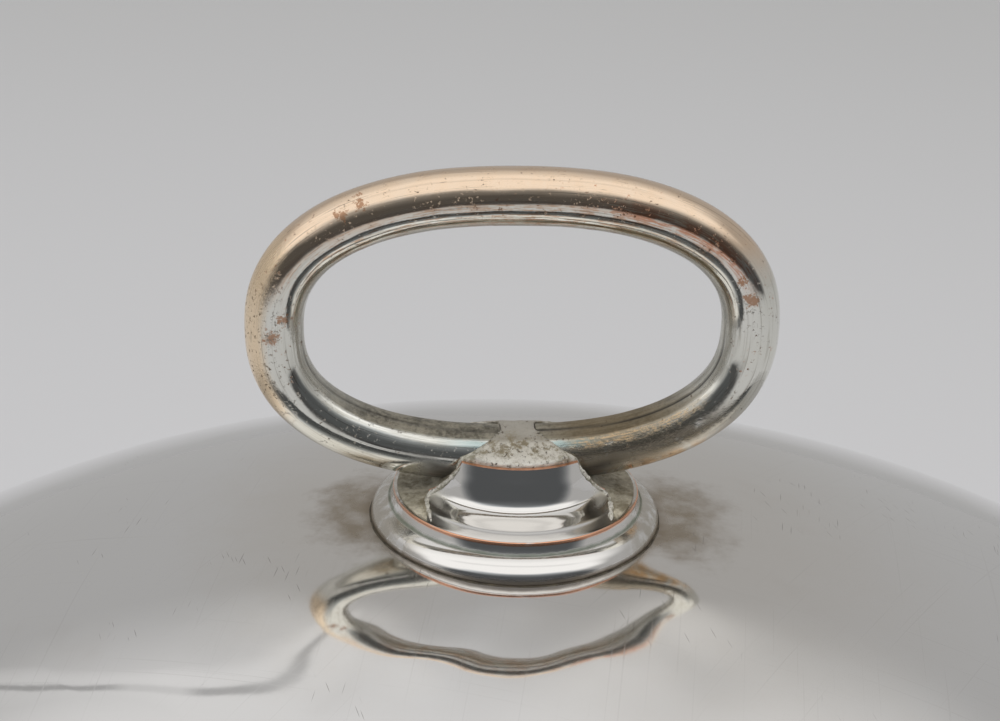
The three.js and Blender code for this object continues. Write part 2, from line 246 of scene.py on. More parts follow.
# Brown halos on the dome at the foot's two ends, in metres: place, then the reach of the dark part,
# of the faint part, and of the faint part at its full strength.
HALOS = ((-0.0325, 0.001, 0.0135, 0.045, 0.010), (0.0350, -0.001, 0.0155, 0.070, 0.012))

# Brown spots on the front of the ring: along it, above the foot's lip, and size.
RUST_SPOTS = (
    (-50.7, 35.8, 2.0), (-48.2, 39.5, 1.4), (-36.7, 61.5, 1.1), (-33.0, 64.0, 1.3), (46.0, 44.5, 1.9),
    (44.2, 48.0, 1.3),
)


def polished_dome():
    """The dome's plate: a clear polish, a few scratches and specks, brown halos at the foot's ends."""
    b, place = finish("polished_dome")
    x, y, z = b.split(place)
    haze = b.cloud(place, 26, 4, 0.6)
    broad = b.cloud(place, 7, 3)
    lines = b.hairlines(place, (18, -52, 101), 1700, 0.0)
    pits = b.pits(place, 620, 0.26, 0.20)
    ragged = (b.cloud(place, 110, 5, 0.65) - 0.5) * 0.018
    mottle = b.cloud(place, 150, 4, 0.6)
    nicks = 0.0
    for scale, turn, shift in (((60, 1500, 60), -1.35, (0, 0, 0)), ((80, 1700, 80), -1.85, (3, 1, 0))):
        nicks = nicks | b.step(b.cells(b.stretched(place, scale, turn, shift), 1), 0.15, 0.07)
    nicks = nicks * b.step(b.cloud(place, 37, 2), 0.57, 0.62)
    halo = faint = 0.0
    for at_x, at_y, dark_to, faint_to, faint_full in HALOS:
        away = ((x - at_x) ** 2 + (y - at_y) ** 2 * 0.35) ** 0.5 + ragged
        halo = halo | b.step(away, dark_to, 0.0035)
        faint = faint | b.step(away, faint_to, faint_full)
    grime = halo * (0.50 + b.step(mottle, 0.30, 0.66) * 0.50)
    seam = (x * x + y * y) ** 0.5
    dirt = b.step(seam + (haze - 0.5) * 0.004, 0.0335, 0.0305) * b.step(z, 0.138, 0.142)
    stain = b.step(b.cloud(place, 17, 4, 0.6), 0.58, 0.74)
    colour = b.coats(
        DOME_SILVER,
        (b.step(broad, 0.35, 0.72) * 0.22, (0.74, 0.725, 0.70)),
        (faint * 0.30, (0.62, 0.55, 0.44)),
        (grime * 0.78, (0.27, 0.205, 0.125)),
        (stain * 0.10, TARNISH),
        (dirt * 0.45, BROWN_GRIME),
        (pits * 0.6, BROWN_GRIME),
        (lines * 0.10, (0.5, 0.48, 0.46)),
        (nicks * 0.55, (0.20, 0.19, 0.18)),
    )
    rough = 0.028 + haze * 0.015 + faint * 0.05 + grime * 0.20 + dirt * 0.2 + lines * 0.04 + pits * 0.3
    skin = b.skin(
        (b.cloud(place, 120, 3, 0.5), 0.00012, 0.05),
        (1 - pits, 0.00008, 0.4),
        (mottle * grime, 0.0003, 0.35),
    )
    return b.shade(colour, 1 - dirt * 0.3, rough, skin)


def tinned_lining():
    """The inside of the dome: dull, wiped plate with water marks."""
    b, place = finish("tinned_lining")
    broad = b.cloud(place, 11, 5, 0.6)
    fine = b.cloud(place, 160, 3)
    lines = b.hairlines(place, (5, 95, 40), 900, 0.03)
    marks = b.step(b.cells(place, 42), 0.30, 0.10)
    colour = b.coats(
        (0.62, 0.60, 0.56),
        (b.step(broad, 0.3, 0.7), (0.44, 0.41, 0.36)),
        (marks * 0.25, (0.35, 0.31, 0.25)),
        (lines * 0.25, (0.7, 0.68, 0.64)),
    )
    return b.shade(colour, 1.0, 0.34 + broad * 0.22 + lines * 0.08, b.skin((fine, 0.0003, 0.2)))


def foot_plate():
    """Bright plate of the foot, gone to copper on its sharp edges, with green dirt in the groove."""
    b, place = finish("foot_plate")
    x, y, z = b.split(place)
    haze = b.cloud(place, 130, 4, 0.6)
    patch = b.cloud(place, 210, 5, 0.65)
    out = (x * x + y * y) ** 0.5
    down = LIP_HEIGHT * MM - z
    ragged = (b.cloud(place, 420, 4, 0.7) - 0.5) * 0.0012
    lip = b.step(out + ragged * 0.2, 0.02576, 0.02590) * b.step(out, 0.0264, 0.0262)
    lip = lip * b.step(down + ragged * 0.3, 0.0010, 0.0006)
    front = b.step(x, -0.029, -0.022) * b.step(patch, 0.25, 0.45)
    groove = b.step(abs(out - GROOVE_RADIUS * MM + ragged * 0.5), 0.00050, 0.00012)
    groove = groove * b.step(down, 0.0018, 0.0023)
    low = b.step(down + ragged, 0.0054, 0.0064)
    ends = b.step(abs(x), 0.019, 0.027)
    tarnish = ends * b.step(patch, 0.34, 0.54)
    ledge = b.step(out, 0.0212, 0.0226) * b.step(out, 0.0256, 0.0250) * b.step(down, 0.0006, 0.0)
    smear = b.step(abs(x) + ragged * 2.0, 0.0140, 0.0175) * b.step(out, 0.0215, 0.0195)
    smear = smear * b.step(down, -0.0040, -0.0015) * b.step(down, 0.0010, 0.0002)
    lines = b.hairlines(place, (8, 100, -50), 2600, 0.0)
    pits = b.pits(place, 1100, 0.26, 0.16)
    colour = b.coats(
        SILVER,
        (haze * 0.2, (0.76, 0.73, 0.69)),
        (ledge * 0.12, (0.52, 0.52, 0.52)),
        (tarnish * 0.58, (0.36, 0.31, 0.22)),
        (smear * 0.8, (0.86, 0.84, 0.76)),
        (lip * (0.15 + front * 0.85), BARE_COPPER),
        (groove * (0.35 + patch * 0.6), VERDIGRIS),
        (low * 0.7, BROWN_GRIME),
        (pits * 0.6, BROWN_GRIME),
    )
    rough = 0.045 + haze * 0.05 + ledge * 0.12 + groove * 0.45 + low * 0.3 + lines * 0.04 + lip * 0.08
    rough = rough + tarnish * 0.16 + smear * 0.45
    skin = b.skin(
        (b.cloud(place, 380, 3), 0.00008, 0.08),
        (1 - pits, 0.00006, 0.35),
        (patch * tarnish, 0.0003, 0.3),
    )
    return b.shade(colour, 1 - groove * 0.6, rough, skin)


def copper_edge():
    """Sheet edges where the plate has gone and the copper shows."""
    b, place = finish("copper_edge")
    patch = b.cloud(place, 700, 4, 0.6)
    colour = b.blend(b.step(patch, 0.35, 0.7), BARE_COPPER, (0.62, 0.31, 0.19))
    return b.shade(colour, 1.0, 0.24 + patch * 0.2, b.skin((patch, 0.0001, 0.4)))


def worn_tube():
    """The ring's plate: rubbed to rose copper on top, pitted at the left, dull and dirty low inside."""
    b, place = finish("worn_tube")
    x, _, z = b.split(place)
    inner, front, run, seam = b.mark("inner"), b.mark("front"), b.mark("run"), b.mark("seam")
    up = z - LIP_HEIGHT * MM
    far = abs(x)
    wound = b.put("ShaderNodeCombineXYZ", None, {0: run, 1: inner * 0.006, 2: front * 0.006})
    streaks = b.cloud(b.stretched(wound, (75, 1300, 1300)), 1, 5, 0.65)
    threads = b.cloud(b.stretched(wound, (240, 4200, 4200)), 1, 3, 0.6)
    broad = b.cloud(place, 75, 4, 0.6)
    middle = b.cloud(place, 260, 5, 0.65)
    fine = b.cloud(place, 1100, 4, 0.7)
    ragged = (broad - 0.5) * 0.5 + (streaks - 0.5) * 0.8

    high = b.step(up - inner * 0.002 - x * 0.06 + (broad - 0.5) * 0.010, 0.044, 0.056)
    rubbed = high * b.step(inner + ragged * 0.7, 0.22, -0.28)
    under_top = high * b.step(inner + ragged * 0.5, -0.25, 0.05)
    under_top = under_top * b.step(threads + (middle - 0.5) * 0.6, 0.49, 0.56)
    left_edge = b.step(x + ragged * 0.004, -0.045, -0.051) * b.step(up + ragged * 0.006, 0.012, 0.020)
    left_edge = left_edge * b.step(inner + ragged * 0.5, -0.15, -0.55)
    right_streak = b.step(x, 0.008, 0.026) * b.step(up, 0.044, 0.052)
    right_streak = right_streak * b.step(abs(inner + 0.10 + ragged * 0.35), 0.42, 0.10)
    right_streak = right_streak * b.step(middle * 0.45 + threads * 0.55, 0.44, 0.53)
    flecks = b.step(fine, 0.60, 0.67) * b.step(broad, 0.48, 0.60)
    copper_flecks = flecks * b.step(up, 0.010, 0.030)
    low = b.step(up + ragged * 0.002, 0.026, 0.016)
    dull = b.step(inner + ragged * 0.12, 0.70, 0.80) * (low * 0.75 + 0.25)
    film = b.step(inner + ragged * 0.25, 0.40, 0.80) * (1 - high) * b.step(streaks, 0.36, 0.58)
    low_dirt = b.step(up, 0.026, 0.014) * b.step(x, 0.002, 0.014) * b.step(middle, 0.16, 0.46)
    low_dirt = low_dirt * b.step(inner, -0.70, -0.15)
    gold_edge = b.step(up, 0.020, 0.008) * b.step(x, 0.008, 0.020)
    gold_edge = gold_edge * b.step(inner + ragged * 0.4, -0.3, -0.8) * b.step(middle, 0.35, 0.6)
    near_joint = b.step(far, 0.019, 0.008) * low
    heat = near_joint * b.step(abs(inner - 0.62 + (middle - 0.5) * 0.2), 0.15, 0.05)
    heat = heat * b.step(front, 0.2, 0.6)
    gold = low * b.step(x, 0.009, 0.014) * b.step(x, 0.046, 0.034)
    gold = gold * b.step(fine * 0.5 + threads * 0.5, 0.46, 0.56)
    gold = gold * b.step(abs(inner - 0.58 + (middle - 0.5) * 0.3), 0.22, 0.08)
    # Near-black where the tube meets the foot: dirt in the joint, and painted shade.
    contact_dirt_and_shade = b.step(up - far * 0.34, 0.0040, 0.0014) * b.step(far, 0.0245, 0.0165)
    scratched = b.cloud(b.stretched(wound, (34, 3300, 3300)), 1, 2, 0.5)
    scratched = b.step(scratched, 0.64, 0.69) | (b.step(threads, 0.63, 0.67) * b.step(middle, 0.5, 0.6))
    pits = b.step(fine, 0.61, 0.67) * b.step(middle, 0.47, 0.60)
    left_pits = b.step(fine, 0.58, 0.64) * b.step(x, -0.044, -0.051) * b.step(inner, 0.2, -0.3)
    left_pits = left_pits * b.step(abs(up - 0.033), 0.019, 0.010)
    rust = 0.0
    for at_x, at_up, size in RUST_SPOTS:
        away = ((x - at_x * MM) ** 2 + (up - at_up * MM) ** 2) ** 0.5 + (fine - 0.5) * 0.007
        rust = rust | b.step(away, size * MM, size * MM * 0.4)
    rust = rust * b.step(front, 0.1, 0.4)
    holes = pits | left_pits
    mottled = b.step(middle * 0.6 + fine * 0.4, 0.36, 0.60)
    mottled = b.blend(mottled, (0.07, 0.06, 0.04), (0.34, 0.31, 0.24))

    colour = b.coats(
        TUBE_SILVER,
        (b.step(broad, 0.3, 0.75) * 0.35, (0.72, 0.71, 0.62)),
        (b.step(streaks, 0.50, 0.68) * 0.40, (0.46, 0.44, 0.38)),
        (rubbed * (0.70 + middle * 0.4), ROSE_COPPER),
        (under_top * 0.75, (0.55, 0.36, 0.24)),
        (left_edge * 0.85, (0.93, 0.73, 0.50)),
        (right_streak * 0.85, (0.60, 0.28, 0.17)),
        (copper_flecks * 0.7, (0.52, 0.25, 0.14)),
        (film * 0.45, (0.30, 0.28, 0.23)),
        (dull * 0.92, mottled),
        (low_dirt * 0.78, b.blend(threads, (0.13, 0.10, 0.06), (0.34, 0.26, 0.15))),
        (gold_edge * 0.9, (0.80, 0.52, 0.27)),
        (heat * 0.6, (0.30, 0.45, 0.46)),
        (gold * 0.85, (0.78, 0.58, 0.36)),
        (rust * 0.85, (0.40, 0.20, 0.10)),
        (scratched * 0.55, (0.22, 0.19, 0.15)),
        (holes * 0.8, (0.15, 0.10, 0.065)),
        (contact_dirt_and_shade * 0.85, (0.05, 0.042, 0.03)),
        (seam * 0.9, (0.035, 0.032, 0.03)),
    )
    rough = 0.025 + broad * 0.02 + rubbed * 0.03 + dull * 0.40 + film * 0.10 + low_dirt * 0.20
    rough = rough + b.step(streaks, 0.50, 0.72) * 0.14 + threads * 0.04 + left_edge * 0.16
    rough = rough + contact_dirt_and_shade * 0.4 + holes * 0.3 + gold * 0.2
    grain = dull | low_dirt | (left_edge * 0.6)
    skin = b.skin(
        (b.cloud(place, 230, 3), 0.00020, 0.12),
        (streaks, 0.00010, 0.10),
        (1 - holes, 0.00018, 0.6),
        (fine * grain, 0.0003, 0.5),
    )
    return b.shade(colour, 1 - contact_dirt_and_shade * 0.6 - dull * 0.35 - rust * 0.4, rough, skin)


def old_solder():
    """Dull cream-grey soft solder: grainy, pitted, brown and green where it meets the plate."""
    b, place = finish("old_solder")
    x, _, z = b.split(place)
    up = z - LIP_HEIGHT * MM
    broad = b.cloud(place, 330, 5, 0.65)
    grain = b.cloud(place, 2100, 4, 0.7)
    spots = b.cloud(place, 1250, 3, 0.6)
    pits = b.step(spots, 0.61, 0.66) * b.step(broad, 0.40, 0.54)
    stain = b.step(b.cloud(place, 420, 6, 0.8), 0.47, 0.60)
    shoulder = b.step(abs(up - 0.0118 + (broad - 0.5) * 0.002), 0.0020, 0.0006)
    edge = b.step(abs(x) + (broad - 0.5) * 0.004, 0.0062, 0.0095)
    tube_top = b.step(up, 0.0122, 0.0130)
    colour = b.coats(
        SOLDER_GREY,
        (b.step(broad, 0.3, 0.7), (0.96, 0.93, 0.85)),
        (tube_top * 0.80, (0.36, 0.33, 0.28)),
        (shoulder * (stain * 0.6 + 0.3), (0.22, 0.175, 0.095)),
        (edge * stain * 0.6, (0.27, 0.25, 0.15)),
        (stain * b.step(grain, 0.45, 0.6) * 0.45, (0.34, 0.29, 0.19)),
        (pits * 0.85, (0.13, 0.095, 0.06)),
    )
    skin = b.skin((broad, 0.0006, 0.5), (grain, 0.00025, 0.7), (1 - pits, 0.0003, 0.9))
    return b.shade(colour, 0.50, 0.40 + grain * 0.25, skin)


def pocket_solder():
    """Solder and dirt in the pockets beside the saddle: olive brown, mottled, nearly matt; the middle of
    each pocket, under the tube, is painted darker as painted shade.
    """
    b, place = finish("pocket_solder")
    _, y, _ = b.split(place)
    broad = b.cloud(place, 240, 5, 0.7)
    grain = b.cloud(place, 1500, 4, 0.7)
    # Painted shade: the middle of the pocket, between the cheeks and under the tube, is painted
    # near-black.
    pocket_middle_shade = b.step(abs(y), 0.0135, 0.0070)
    colour = b.coats(
        (0.28, 0.24, 0.16),
        (b.step(broad, 0.34, 0.66), (0.84, 0.78, 0.63)),
        (b.step(grain, 0.50, 0.66) * 0.35, (0.52, 0.49, 0.40)),
        (pocket_middle_shade * 0.35, (0.07, 0.06, 0.035)),
    )
    skin = b.skin((broad, 0.0008, 0.6), (grain, 0.0003, 0.8))
    return b.shade(colour, 0.35, 0.50 + grain * 0.3, skin)


def seam_dirt():
    """Old polish and dirt packed in a seam."""
    b, place = finish("seam_dirt")
    patch = b.cloud(place, 520, 5, 0.7)
    colour = b.blend(b.step(patch, 0.3, 0.7), (0.035, 0.028, 0.02), (0.13, 0.11, 0.075))
    return b.shade(colour, 0.0, 0.75, b.skin((patch, 0.0003, 0.6)))


def border_plate():
    """Plate of the rim: bright on the bead, dark in the quirks, copper on the lower edge."""
    b, place = finish("border_plate")
    _, _, z = b.split(place)
    haze = b.cloud(place, 90, 4, 0.6)
    ragged = (b.cloud(place, 300, 4, 0.7) - 0.5) * 0.0010
    dirt = 0.0
    for quirk in (0.0041, 0.0105):
        dirt = dirt | b.step(abs(z - quirk + ragged), 0.0007, 0.0002)
    worn = b.step(z + ragged, 0.0012, 0.0003) * b.step(haze, 0.4, 0.6)
    high = b.step(abs(z - 0.0073 + ragged), 0.0013, 0.0002) * b.step(haze, 0.5, 0.62)
    lines = b.hairlines(place, (15, -40, 85), 1900, 0.03)
    pits = b.pits(place, 1200, 0.30, 0.25)
    colour = b.coats(
        SILVER,
        (haze * 0.3, (0.72, 0.68, 0.62)),
        ((worn * 0.8) | (high * 0.45), BARE_COPPER),
        (dirt * 0.8, BROWN_GRIME),
        (pits * 0.6, BROWN_GRIME),
    )
    rough = 0.11 + haze * 0.10 + dirt * 0.4 + lines * 0.08 + worn * 0.1
    skin = b.skin((b.cloud(place, 260, 3), 0.00018, 0.18), (1 - (lines | pits), 0.00005, 0.35))
    return b.shade(colour, 1 - dirt * 0.5, rough, skin)


def dull_metal(name, light, dark, rough):
    """An unpolished fixing metal with brown spots and file marks."""
    b, place = finish(name)
    broad = b.cloud(place, 190, 5, 0.65)
    spots = b.step(b.cloud(place, 520, 4, 0.7), 0.56, 0.68)
    marks = b.hairlines(place, (12, 80), 1900, 0.05)
    colour = b.coats(light, (b.step(broad, 0.3, 0.7), dark), (spots * 0.6, BROWN_GRIME))
    skin = b.skin((broad, 0.0003, 0.35), (1 - marks, 0.00006, 0.4))
    return b.shade(colour, 1 - spots * 0.4, rough + broad * 0.2, skin)


DOME_PLATE = polished_dome()
LINING = tinned_lining()
BORDER_PLATE = border_plate()
FOOT_PLATE = foot_plate()
COPPER_EDGE = copper_edge()
WORN_TUBE = worn_tube()
OLD_SOLDER = old_solder()
POCKET_SOLDER = pocket_solder()
SEAM_DIRT = seam_dirt()
OLD_BRASS = dull_metal("old_brass", (0.62, 0.50, 0.27), (0.36, 0.27, 0.14), 0.38)
DISC_COPPER = dull_metal("disc_copper", (0.60, 0.34, 0.23), (0.33, 0.19, 0.13), 0.36)


def bring_in(name, data):
    """A new object for a mesh, a lamp or a camera."""
    thing = bpy.data.objects.new(name, data)
    bpy.context.scene.collection.objects.link(thing)
    return thing


def smooth_over(mesh, sharp_angle=180.0):
    """Smooth shading, but for edges sharper than the angle."""
    mesh.shade_smooth()
    if sharp_angle < 180:
        mesh.set_sharp_from_angle(angle=math.radians(sharp_angle))


def worked(piece):
    """Gives a piece the mesh that its modifiers make of it, and returns that mesh."""
    bpy.context.view_layer.update()
    seen = piece.evaluated_get(bpy.context.evaluated_depsgraph_get())
    mesh = bpy.data.meshes.new_from_object(seen)
    piece.modifiers.clear()
    piece.data = mesh
    return mesh


def set_out(name, points, faces, sharp_angle=35.0):
    """A piece from points in millimetres, smooth but for edges sharper than the angle."""
    mesh = bpy.data.meshes.new(name)
    mesh.from_pydata((np.asarray(points, float) * MM).tolist(), [], [list(f) for f in faces])
    body = bmesh.new()
    body.from_mesh(mesh)
    bmesh.ops.remove_doubles(body, verts=body.verts, dist=1e-7)
    bmesh.ops.dissolve_degenerate(body, edges=body.edges, dist=1e-7)
    bmesh.ops.recalc_face_normals(body, faces=body.faces)
    body.to_mesh(mesh)
    body.free()
    smooth_over(mesh, sharp_angle)
    return bring_in(name, mesh)


def fit(piece, slot, nodes, *materials):
    """Puts a piece on the cover in place of its plain solids."""
    piece.data.materials.clear()
    for material in materials:
        piece.data.materials.append(material)
    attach(piece, "root")
    if nodes:
        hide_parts(*nodes)


def grid_faces(rows, columns, closed_rows=False):
    """Quads of a grid whose columns close on themselves; the rows may too."""
    faces = []
    for i in range(rows if closed_rows else rows - 1):
        under, over = i * columns, ((i + 1) % rows) * columns
        for j in range(columns):
            k = (j + 1) % columns
            faces.append((under + j, under + k, over + k, over + j))
    return faces


def rod_faces(rows, columns):
    """Faces of a rod made of rings, with a cap on either end."""
    last = (rows - 1) * columns
    return [*grid_faces(rows, columns), range(columns), range(last, last + columns)]


def runs_of(line):
    """How far along a line of points each of them lies."""
    return np.concatenate([[0], np.cumsum(np.linalg.norm(np.diff(line, axis=0), axis=1))])


def evened(line, count):
    """A line laid out anew in so many points with even steps, and how far along each one lies."""
    run = runs_of(line)
    even = np.linspace(0, run[-1], count)
    return np.stack([np.interp(even, run, part) for part in line.T], axis=-1), even


def unit(ways):
    return ways / np.linalg.norm(ways, axis=1)[:, None]


def turns_of(sides):
    return np.arange(sides) * 2 * math.pi / sides


def rings_of(along_x, along_y, heights, sides):
    """Level rings as an array of points, from their half lengths both ways and their heights."""
    turn = turns_of(sides)
    x, y = np.outer(along_x, np.cos(turn)), np.outer(along_y, np.sin(turn))
    return np.stack([x, y, np.outer(heights, np.ones(sides))], axis=-1).reshape(-1, 3)


def ovalled(radii, heights, sides):
    """Rings of a round profile, pulled out to the cover's oval."""
    radii = np.asarray(radii, float)
    reach = np.maximum(radii, MEAN_RADIUS)
    along_x = radii * (1 + (DOME_HALF_LENGTH - MEAN_RADIUS) / reach)
    along_y = radii * (1 + (DOME_HALF_WIDTH - MEAN_RADIUS) / reach)
    return rings_of(along_x, along_y, heights, sides)


def turned(profile, sides):
    """Rings of a round profile about the upright axis."""
    radii, heights = np.array(profile, float).T
    return rings_of(radii, radii, heights, sides)


def spun(name, profile, sides, sharp_angle, oval=False):
    """A ring-shaped piece from a closed profile: round, or pulled out to the cover's oval."""
    rings = ovalled(*np.array(profile, float).T, sides) if oval else turned(profile, sides)
    return set_out(name, rings, grid_faces(len(profile), sides, True), sharp_angle)


def soft_edged(inner, outer, low, high, soft):
    """The closed profile of a flat ring with softened edges."""
    left, right, under, over = inner + soft, outer - soft, low + soft, high - soft
    corners = ((left, under), (right, under), (right, over), (left, over))
    return [
        spot for k, (radius, height) in enumerate(corners)
        for spot in arc(radius, height, soft, 180 + 90 * k, 270 + 90 * k, 4)
    ]


def smoothed(points, steps):
    """A curve through a profile's points, with so many steps between each two."""
    points = np.array(points, float)
    ends = np.vstack([2 * points[0] - points[1], points, 2 * points[-1] - points[-2]])
    found = []
    for a, b, c, d in zip(ends, ends[1:], ends[2:], ends[3:]):
        bend, twist = 2 * a - 5 * b + 4 * c - d, 3 * b - a - 3 * c + d
        for t in np.arange(steps) / steps:
            found.append(0.5 * (2 * b + (c - a) * t + bend * t**2 + twist * t**3))
    return np.array([*found, points[-1]])


def arc(radius_at, height_at, radius, start, end, steps):
    turns = np.radians(np.linspace(start, end, steps + 1))
    return [(radius_at + radius * math.cos(t), height_at + radius * math.sin(t)) for t in turns]


def bumps(points, scale, seed):
    """Smooth seeded noise, about -1 to 1, at points in millimetres."""
    shift = Vector((seed * 17.3, seed * 5.9, seed * 11.1))
    return np.array([noise.noise(Vector(p) / scale + shift) for p in points])


def dome_height(share):
    """Height of the dome's outside at a share of the way out from the crown to the spring line."""
    return WALL_HEIGHT + DOME_RISE * np.maximum(1 - share**CROWN_POWER, 0) ** (1 / FLANK_POWER)


def dents(x, y):
    """How far the old dome stands proud of its true curve, in millimetres."""
    reach = np.hypot(x, y)
    turn = np.arctan2(y, x)
    proud = -0.45 * np.exp(-(((reach - 24) / 13) ** 2))
    for at_x, at_y, width, height in DENTS:
        proud = proud + height * np.exp(-((x - at_x) ** 2 + (y - at_y) ** 2) / width**2)
    wave = 0.12 * np.sin(5 * turn + 0.6) + 0.10 * np.sin(9 * turn - reach / 9)
    behind = np.exp(-(((reach - 47) / 18) ** 2)) * np.clip(y / 15, 0, 1)
    flat = np.stack([x, y, np.zeros_like(x)], axis=-1)
    broad = 0.20 * bumps(flat, 46, 1) + 0.05 * bumps(flat, 17, 2)
    ripple = 0.022 * bumps(flat, 6.5, 3) * np.exp(-(((reach - 50) / 26) ** 2))
    return proud + behind * wave + ripple + broad * np.clip((reach - 66) / 30, 0, 1)


def ground(x, y):
    """Height of the old dome at a place near its crown."""
    return dome_height(np.hypot(x / DOME_HALF_LENGTH, y / DOME_HALF_WIDTH)) + dents(x, y)


def raise_dome():
    """The dome and its standing wall, one sheet with an inside and an outside."""
    sides, even_to = 360, 96.0
    turns = np.linspace(math.acos((even_to / MEAN_RADIUS) ** (CROWN_POWER / 2)), 0.0, 46)
    flank = MEAN_RADIUS * np.cos(turns) ** (2 / CROWN_POWER)
    reach = np.concatenate([[3.5], np.arange(5.0, even_to, 1.3), flank])
    wall = smoothed(
        [(0, 18.2), (0.35, 16.5), (1.0, 15.3), (2.2, 14.6), (3.6, 14.2), (4.25, 13.8), (WALL_STEP, 13.2),
         (WALL_STEP, 11.0), (WALL_STEP, 6.0), (WALL_STEP, EDGE_WIRE_HEIGHT)], 2
    )
    dome = np.stack([reach, dome_height(reach / MEAN_RADIUS)], axis=1)
    line = np.vstack([dome, wall + (MEAN_RADIUS, 0)])
    slope = unit(np.gradient(line, axis=0))
    inward = np.stack([slope[:, 1], -slope[:, 0]], axis=1)
    inward[0] = (0, -1)
    layers = []
    for depth in (0.0, SHEET):
        x, y, z = ovalled(*(line + inward * depth).T, sides).T
        loose, turn = np.clip((z - 18) / 20, 0, 1), np.arctan2(y, x)
        out, up = np.repeat(-inward, sides, axis=0).T * dents(x, y) * loose
        rings = np.stack([x + out * np.cos(turn), y + out * np.sin(turn), z + up], axis=-1)
        layers.append(rings.reshape(len(line), sides, 3))
    rings = np.concatenate([layers[0], layers[1][::-1]])
    piece = set_out("dome_sheet", rings.reshape(-1, 3), grid_faces(len(rings), sides, True), 50)
    fit(piece, "silver_plate", ["dome"], DOME_PLATE, LINING)
    middle = Vector((0, 0, 0.05))
    for face in piece.data.polygons:
        if face.normal.dot(face.center - middle) < 0:
            face.material_index = 1


def border():
    """The applied border of the rim: a bead between two reeds, and the flat wire under it."""
    sides = 480
    back = MEAN_RADIUS + WALL_STEP + JOINT_GAP
    bead = MEAN_RADIUS + WALL_STEP + BORDER_INSET
    low = EDGE_WIRE_HEIGHT + REED_RADIUS
    middle = low + REED_RADIUS + BEAD_RADIUS
    high = middle + BEAD_RADIUS + REED_RADIUS
    hollow = BEAD_RADIUS - BORDER_SHEET
    profile = [
        (back, EDGE_WIRE_HEIGHT + 0.02),
        *arc(bead, low, REED_RADIUS, -88, 52, 10),
        *arc(bead, middle, BEAD_RADIUS, -66, 66, 22),
        *arc(bead, high, REED_RADIUS, -52, 90, 10),
        (back, high + REED_RADIUS),
        (back, middle + hollow),
        *arc(bead, middle, hollow, 90, -90, 12),
        (back, middle - hollow),
    ]
    moulding = spun("border_moulding", profile, sides, 32, oval=True)
    fit(moulding, "silver_plate", ["rim_moulding"], BORDER_PLATE)
    inner = MEAN_RADIUS + WALL_STEP - SHEET
    profile = soft_edged(inner, inner + EDGE_WIRE_WIDTH, 0, EDGE_WIRE_HEIGHT, 0.3)
    wire = spun("flat_edge_wire", profile, sides, 32, oval=True)
    fit(wire, "silver_plate", ["edge_wire"], BORDER_PLATE)


def ring_line(steps):
    """Even steps along the ring's centre line, from end to end: places, ways outwards, and runs."""

    def turn_at(x):
        off = x - RING_SHIFT
        along = abs(off / RING_HALF_LENGTH) ** (RING_POWER / 2)
        return -math.pi / 2 + math.copysign(math.asin(along), off)

    turn = np.linspace(turn_at(RING_GAP / 2), turn_at(-RING_GAP / 2) + 2 * math.pi, 9001)
    cos, sin, power = np.cos(turn), np.sin(turn), 2 / RING_POWER
    along = RING_SHIFT + RING_HALF_LENGTH * np.sign(cos) * np.abs(cos) ** power
    height = RING_CENTRE + RING_HALF_HEIGHT * np.sign(sin) * np.abs(sin) ** power
    line, run = evened(np.stack([along, height], axis=-1), steps + 1)
    way = np.gradient(line, axis=0)
    for _ in range(3):
        way[1:-1] = (way[:-2] + way[1:-1] * 2 + way[2:]) / 4
    way = unit(way)
    return line, np.stack([way[:, 1], -way[:, 0]], axis=-1), run


def bend_ring():
    """The handle: a seamed tube bent to an oval loop, with its ends at the foot."""
    steps, sides, bore_sides, bore_steps = 460, 72, 24, 30
    line, outward, run = ring_line(steps)
    turn = turns_of(sides)
    seam_at = math.radians(TUBE_SEAM_TURN)

    def circle(i, radius, turn):
        """A section of the tube, square to the ring's line at one of its steps."""
        x, z = line[i][:, None] + outward[i][:, None] * radius * np.cos(turn)
        return np.stack([x, radius * np.sin(turn), LIP_HEIGHT + z], axis=-1)

    rows, seam = [], []
    for i, far in enumerate(run):
        wander = 0.5 * noise.noise(Vector((far / 40, 3.1, 0.4)))
        off = (turn - seam_at) * TUBE_RADIUS - wander
        depth = TUBE_SEAM_DEPTH * np.exp(-((off / TUBE_SEAM_WIDTH) ** 2))
        depth *= 0.35 + 0.65 * np.clip((RING_CENTRE + 6 - line[i, 1]) / 12, 0, 1)
        ripple = np.array(
            [0.05 * noise.noise(Vector((far / 9, 2.2 * math.cos(t), 2.2 * math.sin(t)))) for t in turn]
        )
        rows.append(circle(i, TUBE_RADIUS - depth + ripple, turn))
        seam.append(np.clip(depth / 0.14 - 0.25, 0, 1))
    skin = np.concatenate(rows)
    faces = grid_faces(steps + 1, sides)
    points = [skin]
    ratio = sides // bore_sides
    for end, stations in enumerate((range(bore_steps), range(steps, steps - bore_steps, -1))):
        start = len(skin) + end * bore_steps * bore_sides
        points += [circle(i, TUBE_BORE, turns_of(bore_sides)) for i in stations]
        faces += [[v + start for v in face] for face in grid_faces(bore_steps, bore_sides)]
        faces.append([start + (bore_steps - 1) * bore_sides + j for j in range(bore_sides)])
        rim = end * steps * sides
        for j in range(bore_sides):
            outer = [rim + (j * ratio + m) % sides for m in range(ratio + 1)]
            faces.append([*outer, start + (j + 1) % bore_sides, start + j])
    piece = set_out("ring_tube", np.concatenate(points), faces, 40)
    spare = len(piece.data.vertices) - len(skin)
    marks = {
        "inner": np.tile(-np.cos(turn), steps + 1), "front": np.tile(-np.sin(turn), steps + 1),
        "seam": np.concatenate(seam), "run": np.repeat(run * MM, sides),
    }
    for name, shares in marks.items():
        layer = piece.data.attributes.new(name, "FLOAT", "POINT")
        layer.data.foreach_set("value", np.pad(shares, (0, spare)).astype(np.float32))
    fit(piece, "worn_plate", ["ring_handle"], WORN_TUBE)


